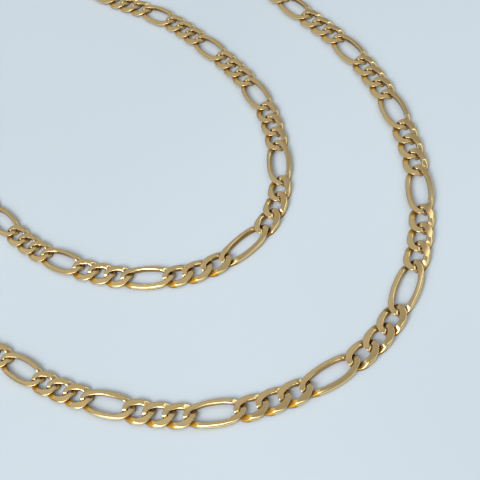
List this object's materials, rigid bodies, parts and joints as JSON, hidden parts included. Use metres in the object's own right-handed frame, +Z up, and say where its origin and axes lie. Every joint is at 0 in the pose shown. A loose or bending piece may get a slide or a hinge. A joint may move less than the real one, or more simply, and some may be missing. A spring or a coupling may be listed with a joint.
{
  "type": "figaro chain necklace",
  "caption": "Flat-ground figaro chain necklace of gold-coloured curb links, three short and one long in turn, fastened and laid folded in two curved strands.",
  "frame": {"origin": "on the surface that it lies on, under the middle of the layout's bounding box", "axes": "+Z up from the surface, +Y towards the two folded ends, -Y towards the front bend, +X to the right"},
  "size_m": [0.1037, 0.1105, 0.0019],
  "materials": {
    "chain_outer": "polished",
    "chain_inner": "polished",
    "clasp": "polished"
  },
  "bodies": {
    "root": {"chain_outer": "chain_outer", "chain_inner": "chain_inner", "clasp": "clasp"}
  },
  "joints": []
}
